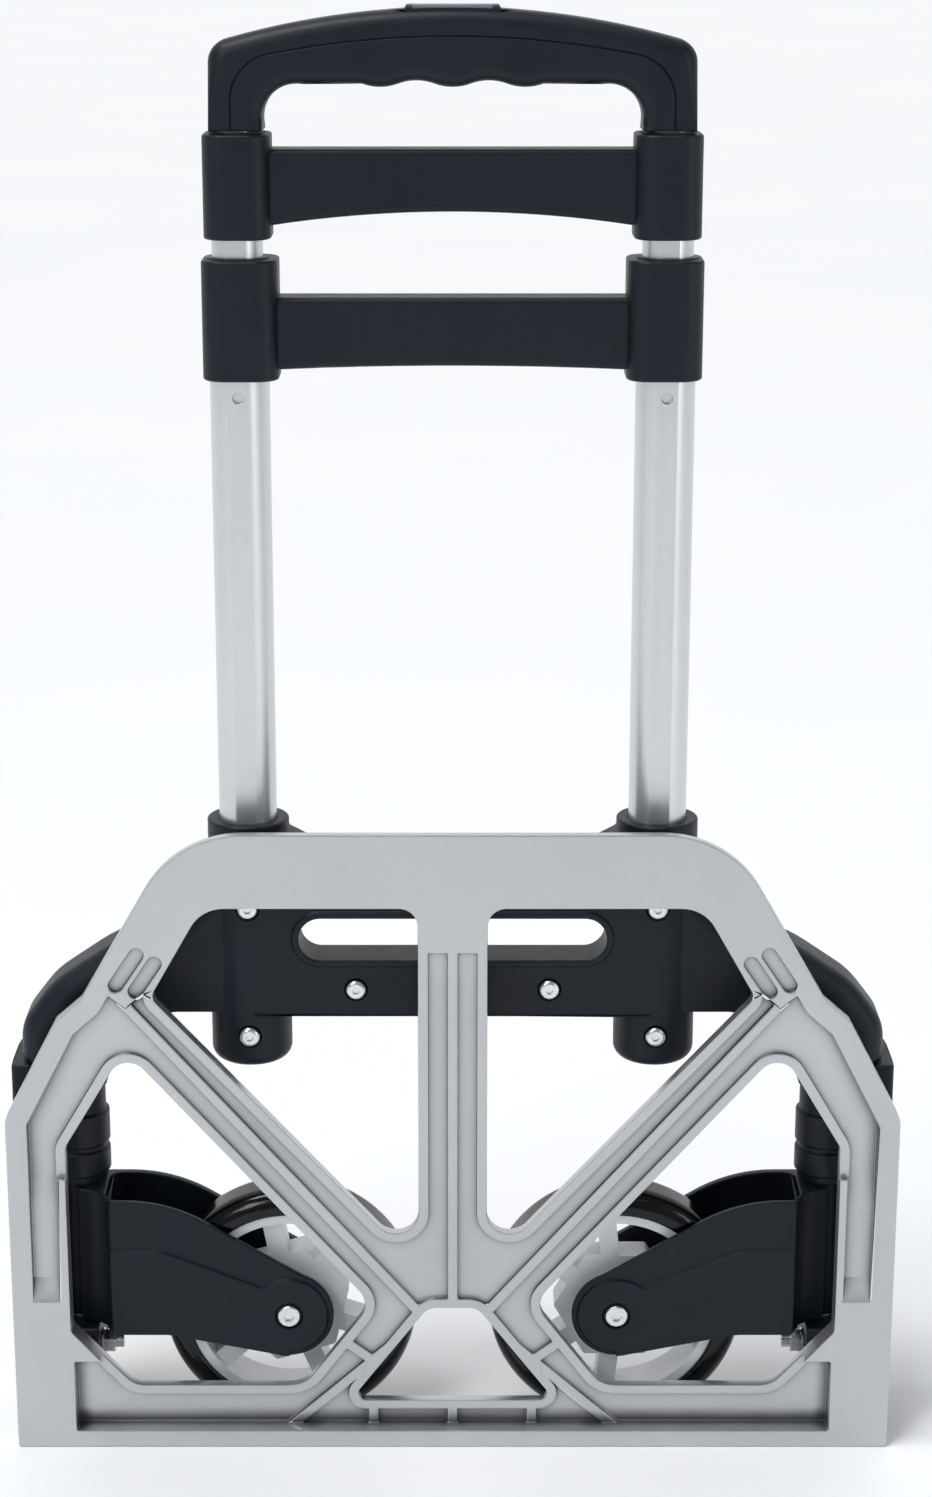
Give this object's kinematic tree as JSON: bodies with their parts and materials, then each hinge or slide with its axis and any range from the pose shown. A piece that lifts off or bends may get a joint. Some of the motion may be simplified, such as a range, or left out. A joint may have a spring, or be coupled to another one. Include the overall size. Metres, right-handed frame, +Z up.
{
  "type": "folding hand truck",
  "caption": "Folding hand truck standing folded, with a ribbed aluminium toe plate, swing-out wheels and a telescopic handle.",
  "frame": {"origin": "on the floor, under the middle of the folded truck", "axes": "+X across the truck, +Y from the toe plate to the back, +Z up the handle"},
  "size_m": [0.39, 0.058, 0.6283],
  "materials": {
    "cast_aluminium": "satin painted die casting",
    "tube_aluminium": "drawn and anodised",
    "black_plastic": "fine moulded texture",
    "guide_plastic": "smooth nylon",
    "button_plastic": "smooth moulded",
    "rim_plastic": "smooth moulded",
    "tyre_rubber": "smooth and slightly glossy",
    "zinc_steel": "bright zinc plate"
  },
  "bodies": {
    "frame": {"back_frame": "black_plastic", "left_side_leg": "black_plastic", "right_side_leg": "black_plastic", "leg_screws": "zinc_steel", "pivot_pins": "zinc_steel", "pivot_washers": "zinc_steel", "hinge_bolts": "zinc_steel", "hinge_washers": "zinc_steel", "hinge_nuts": "zinc_steel", "left_outer_tube": "tube_aluminium", "right_outer_tube": "tube_aluminium", "socket_screws": "zinc_steel", "beam_screws": "zinc_steel", "lower_crossbar": "black_plastic", "lower_collar_screws": "zinc_steel", "outer_tube_bushes": "guide_plastic"},
    "toe_plate": {"toe_plate": "cast_aluminium"},
    "left_wheel_arm": {"left_wheel_arm": "black_plastic", "left_axle_bolt": "zinc_steel", "left_axle_nut": "zinc_steel"},
    "left_wheel": {"left_tyre": "tyre_rubber", "left_wheel_rim": "rim_plastic", "left_wheel_bush": "guide_plastic"},
    "right_wheel_arm": {"right_wheel_arm": "black_plastic", "right_axle_bolt": "zinc_steel", "right_axle_nut": "zinc_steel"},
    "right_wheel": {"right_tyre": "tyre_rubber", "right_wheel_rim": "rim_plastic", "right_wheel_bush": "guide_plastic"},
    "middle_stage": {"left_middle_tube": "tube_aluminium", "right_middle_tube": "tube_aluminium", "middle_tube_plugs": "guide_plastic", "upper_crossbar": "black_plastic", "upper_collar_screws": "zinc_steel", "middle_tube_bushes": "guide_plastic"},
    "top_stage": {"left_inner_tube": "tube_aluminium", "right_inner_tube": "tube_aluminium", "inner_tube_plugs": "guide_plastic", "handle_top_shell": "black_plastic", "handle_grip_shell": "black_plastic", "handle_screws": "zinc_steel", "rod_guides": "guide_plastic", "return_springs": "zinc_steel"},
    "release_button": {"release_button": "button_plastic", "push_yoke": "guide_plastic", "push_rods": "zinc_steel"},
    "middle_pins": {"middle_lock_pins": "zinc_steel"},
    "top_pins": {"top_lock_pins": "zinc_steel"}
  },
  "joints": [
    {"name": "plate_fold", "type": "hinge", "parent": "frame", "child": "toe_plate", "pos_m": [0, 0.006, 0.035], "axis": [1, 0, 0], "range_deg": [0, 90]},
    {"name": "left_arm_swing", "type": "hinge", "parent": "frame", "child": "left_wheel_arm", "pos_m": [-0.168, 0.015, 0.08], "axis": [0, 0, 1], "range_deg": [0, 90]},
    {"name": "right_arm_swing", "type": "hinge", "parent": "frame", "child": "right_wheel_arm", "pos_m": [0.168, 0.015, 0.08], "axis": [0, 0, 1], "range_deg": [-90, 0]},
    {"name": "left_wheel_spin", "type": "hinge", "parent": "left_wheel_arm", "child": "left_wheel", "pos_m": [-0.0735, 0.005, 0.057], "axis": [0, 1, 0], "continuous": true},
    {"name": "right_wheel_spin", "type": "hinge", "parent": "right_wheel_arm", "child": "right_wheel", "pos_m": [0.0735, 0.005, 0.057], "axis": [0, 1, 0], "continuous": true},
    {"name": "middle_stage_slide", "type": "slide", "parent": "frame", "child": "middle_stage", "axis": [0, 0, 1], "range_m": [0, 0.185]},
    {"name": "top_stage_slide", "type": "slide", "parent": "middle_stage", "child": "top_stage", "axis": [0, 0, 1], "range_m": [0, 0.185]},
    {"name": "button_press", "type": "slide", "parent": "top_stage", "child": "release_button", "axis": [0, 0, -1], "range_m": [0, 0.0025], "stiffness_N_per_m": 1500, "springref_m": -0.003, "deforming": ["return_springs"]},
    {"name": "top_pins_draw", "type": "slide", "parent": "top_stage", "child": "top_pins", "axis": [0, 1, 0], "range_m": [0, 0.0025]},
    {"name": "middle_pins_draw", "type": "slide", "parent": "middle_stage", "child": "middle_pins", "axis": [0, 1, 0], "range_m": [0, 0.0025], "stiffness_N_per_m": 400, "springref_m": -0.003}
  ],
  "couplings": [
    {"joint": "left_arm_swing", "follows": "plate_fold", "ratio": 1},
    {"joint": "right_arm_swing", "follows": "plate_fold", "ratio": -1},
    {"joint": "top_pins_draw", "follows": "button_press", "ratio": 1}
  ]
}
